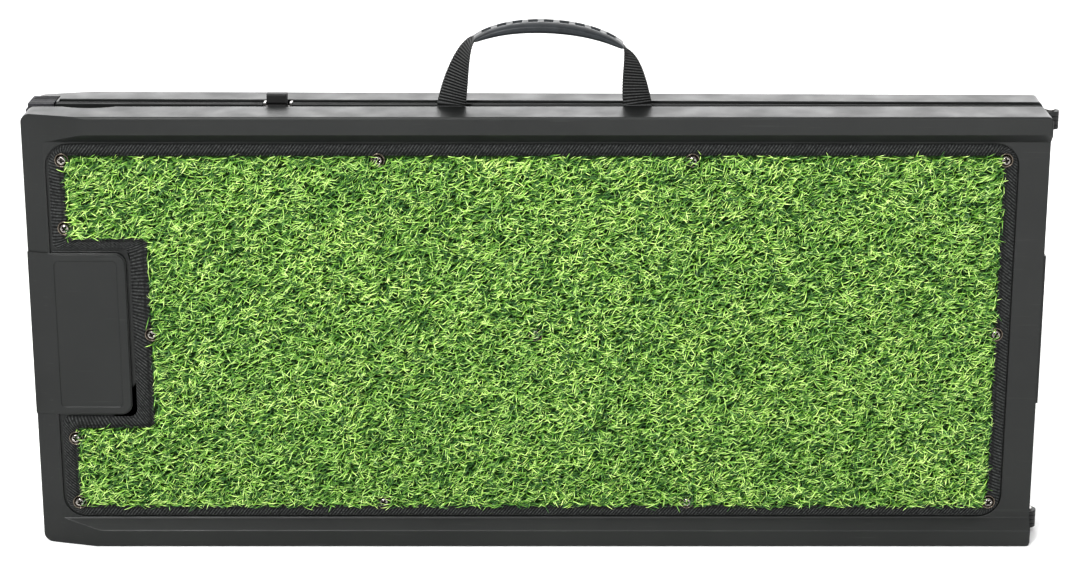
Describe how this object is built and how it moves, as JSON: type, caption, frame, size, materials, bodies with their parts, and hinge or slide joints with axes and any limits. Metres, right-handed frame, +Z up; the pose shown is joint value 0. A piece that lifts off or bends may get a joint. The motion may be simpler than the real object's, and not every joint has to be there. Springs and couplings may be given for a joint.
{
  "type": "folding pet ramp",
  "caption": "Two-panel folding pet ramp with artificial-grass decks, raised side rails, end hinge, webbing carry handle and thumb latch, folded and standing on its long side.",
  "frame": {"origin": "middle of the base of the folded ramp's bounding box, on the surface it stands on", "axes": "+X from the free ends to the hinge, +Y from the front deck to the rear deck, +Z up across the ramp's width to the handle"},
  "size_m": [0.9222, 0.1026, 0.4832],
  "materials": {
    "frame_plastic": "matte moulded",
    "hinge_plastic": "matte moulded",
    "latch_plastic": "fine texture",
    "turf": "artificial grass pile",
    "binding_tape": "twill tape",
    "webbing": "ribbed webbing",
    "grip_rubber": "satin",
    "foot_rubber": "ribbed",
    "dark_steel": "dark plated",
    "pin_steel": "satin"
  },
  "bodies": {
    "front_half": {"front_frame": "frame_plastic", "front_under_panel": "frame_plastic", "front_turf_mat": "turf", "front_binding": "binding_tape", "front_deck_screws": "dark_steel", "front_deck_washers": "dark_steel", "front_panel_screws": "dark_steel", "front_foot_upper": "foot_rubber", "front_foot_lower": "foot_rubber", "front_foot_screws": "dark_steel", "front_hinge_leaf_upper": "hinge_plastic", "front_hinge_leaf_lower": "hinge_plastic", "front_hinge_screws": "dark_steel", "hinge_pin_upper": "pin_steel", "hinge_pin_lower": "pin_steel", "handle_tails": "webbing", "handle_anchor_plates": "frame_plastic", "handle_anchor_screws": "dark_steel"},
    "rear_half": {"rear_frame": "frame_plastic", "rear_under_panel": "frame_plastic", "rear_turf_mat": "turf", "rear_binding": "binding_tape", "rear_deck_screws": "dark_steel", "rear_deck_washers": "dark_steel", "rear_panel_screws": "dark_steel", "rear_foot_upper": "foot_rubber", "rear_foot_lower": "foot_rubber", "rear_foot_screws": "dark_steel", "rear_hinge_leaf_upper": "hinge_plastic", "rear_hinge_leaf_lower": "hinge_plastic", "rear_hinge_screws": "dark_steel", "latch_bracket": "pin_steel", "latch_pin": "pin_steel", "latch_spring": "pin_steel"},
    "handle": {"handle_webbing": "webbing", "handle_grip": "grip_rubber"},
    "latch": {"latch_tab": "latch_plastic"}
  },
  "joints": [
    {"name": "fold", "type": "hinge", "parent": "front_half", "child": "rear_half", "pos_m": [0.45285, -0.00674, 0.203], "axis": [0, 0, -1], "range_deg": [0, 179.1]},
    {"name": "handle_swing", "type": "hinge", "parent": "front_half", "child": "handle", "pos_m": [0.00185, -0.00674, 0.4075], "axis": [1, 0, 0], "range_deg": [-70, 70]},
    {"name": "latch_press", "type": "hinge", "parent": "rear_half", "child": "latch", "pos_m": [-0.23744, 0.0122, 0.4005], "axis": [-0.9999, 0.0157, 0], "range_deg": [0, 25], "stiffness_Nm_per_rad": 0.05, "springref_deg": -11.46}
  ]
}
